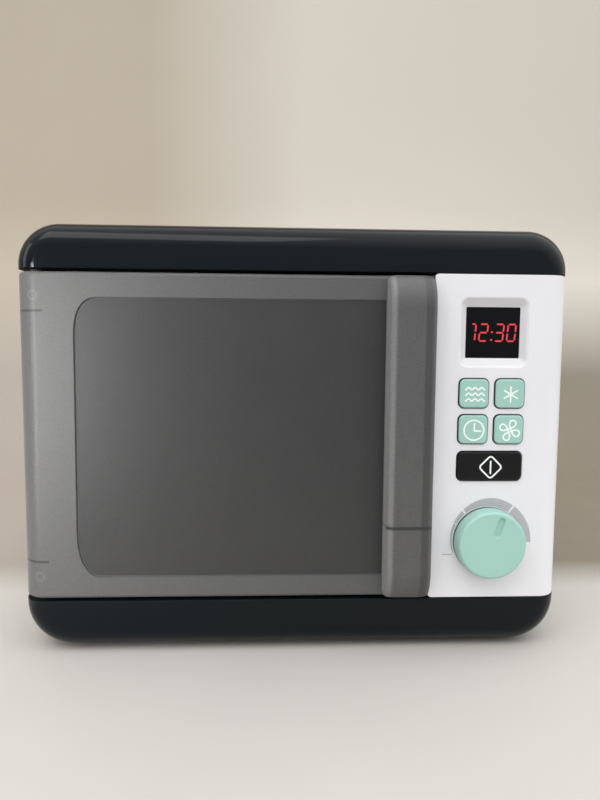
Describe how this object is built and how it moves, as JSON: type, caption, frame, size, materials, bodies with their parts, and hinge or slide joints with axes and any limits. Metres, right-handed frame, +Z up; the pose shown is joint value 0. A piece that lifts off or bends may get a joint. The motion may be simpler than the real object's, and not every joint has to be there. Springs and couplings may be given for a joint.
{
  "type": "toy microwave oven",
  "caption": "Toy microwave oven for pretend play, with a swinging smoked door, an empty cavity with a turning plate, push buttons and a clicking knob.",
  "frame": {"origin": "on the surface it stands on, under the middle of the object's box", "axes": "+X towards the control panel's side, -Y the way the front faces, +Z up"},
  "size_m": [0.2908, 0.1768, 0.2278],
  "materials": {
    "cover_plastic": "glossy anthracite, moulded ABS",
    "panel_plastic": "semi-gloss white, moulded ABS",
    "door_plastic": "smoked translucent polypropylene with a satin texture",
    "mint_plastic": "satin mint, moulded ABS",
    "black_plastic": "satin black, moulded ABS",
    "display_black": "glossy black, printed plate",
    "cavity_plastic": "satin dark grey, moulded polypropylene",
    "natural_plastic": "natural acetal, unpainted",
    "pad_rubber": "soft black",
    "screw_steel": "zinc plated"
  },
  "bodies": {
    "housing": {"base_tray": "cover_plastic", "top_cover": "cover_plastic", "front_fascia": "panel_plastic", "rear_shell": "panel_plastic", "cavity_liner": "cavity_plastic", "display_plate": "display_black", "switch_plate": "natural_plastic", "button_spring_waves": "screw_steel", "button_spring_star": "screw_steel", "button_spring_clock": "screw_steel", "button_spring_fan": "screw_steel", "button_spring_start": "screw_steel", "hinge_washer": "natural_plastic", "door_catch": "natural_plastic", "click_spring": "screw_steel", "base_screw_1": "screw_steel", "base_screw_2": "screw_steel", "base_screw_3": "screw_steel", "base_screw_4": "screw_steel", "cover_screw_1": "screw_steel", "cover_screw_2": "screw_steel", "cover_screw_3": "screw_steel", "cover_screw_4": "screw_steel", "plate_screw_1": "screw_steel", "plate_screw_2": "screw_steel", "plate_screw_3": "screw_steel", "plate_screw_4": "screw_steel", "foot_1": "pad_rubber", "foot_2": "pad_rubber", "foot_3": "pad_rubber", "foot_4": "pad_rubber"},
    "door": {"door_panel": "door_plastic", "hinge_block_top": "door_plastic", "hinge_block_bottom": "door_plastic", "hinge_screw_top": "screw_steel", "hinge_screw_bottom": "screw_steel"},
    "control_knob": {"knob": "mint_plastic", "click_wheel": "natural_plastic", "knob_washer": "screw_steel", "knob_screw": "screw_steel"},
    "turning_plate": {"turntable": "natural_plastic", "turntable_clip": "screw_steel"},
    "waves_button": {"button_waves": "mint_plastic"},
    "star_button": {"button_star": "mint_plastic"},
    "clock_button": {"button_clock": "mint_plastic"},
    "fan_button": {"button_fan": "mint_plastic"},
    "start_button": {"button_start": "black_plastic"}
  },
  "joints": [
    {"name": "door_hinge", "type": "hinge", "parent": "housing", "child": "door", "pos_m": [-0.13673, -0.0664, 0.1163], "axis": [0, 0, -1], "range_deg": [0, 110], "deforming": ["door_catch"]},
    {"name": "knob_turn", "type": "hinge", "parent": "housing", "child": "control_knob", "pos_m": [0.10365, -0.07, 0.061], "axis": [0, 1, 0], "continuous": true, "deforming": ["click_spring"]},
    {"name": "turntable_spin", "type": "hinge", "parent": "housing", "child": "turning_plate", "pos_m": [-0.03547, 0.0118, 0.0356], "axis": [0, 0, 1], "continuous": true},
    {"name": "waves_press", "type": "slide", "parent": "housing", "child": "waves_button", "axis": [0, 1, 0], "range_m": [0, 0.002], "stiffness_N_per_m": 250, "deforming": ["button_spring_waves"]},
    {"name": "star_press", "type": "slide", "parent": "housing", "child": "star_button", "axis": [0, 1, 0], "range_m": [0, 0.002], "stiffness_N_per_m": 250, "deforming": ["button_spring_star"]},
    {"name": "clock_press", "type": "slide", "parent": "housing", "child": "clock_button", "axis": [0, 1, 0], "range_m": [0, 0.002], "stiffness_N_per_m": 250, "deforming": ["button_spring_clock"]},
    {"name": "fan_press", "type": "slide", "parent": "housing", "child": "fan_button", "axis": [0, 1, 0], "range_m": [0, 0.002], "stiffness_N_per_m": 250, "deforming": ["button_spring_fan"]},
    {"name": "start_press", "type": "slide", "parent": "housing", "child": "start_button", "axis": [0, 1, 0], "range_m": [0, 0.002], "stiffness_N_per_m": 250, "deforming": ["button_spring_start"]}
  ]
}
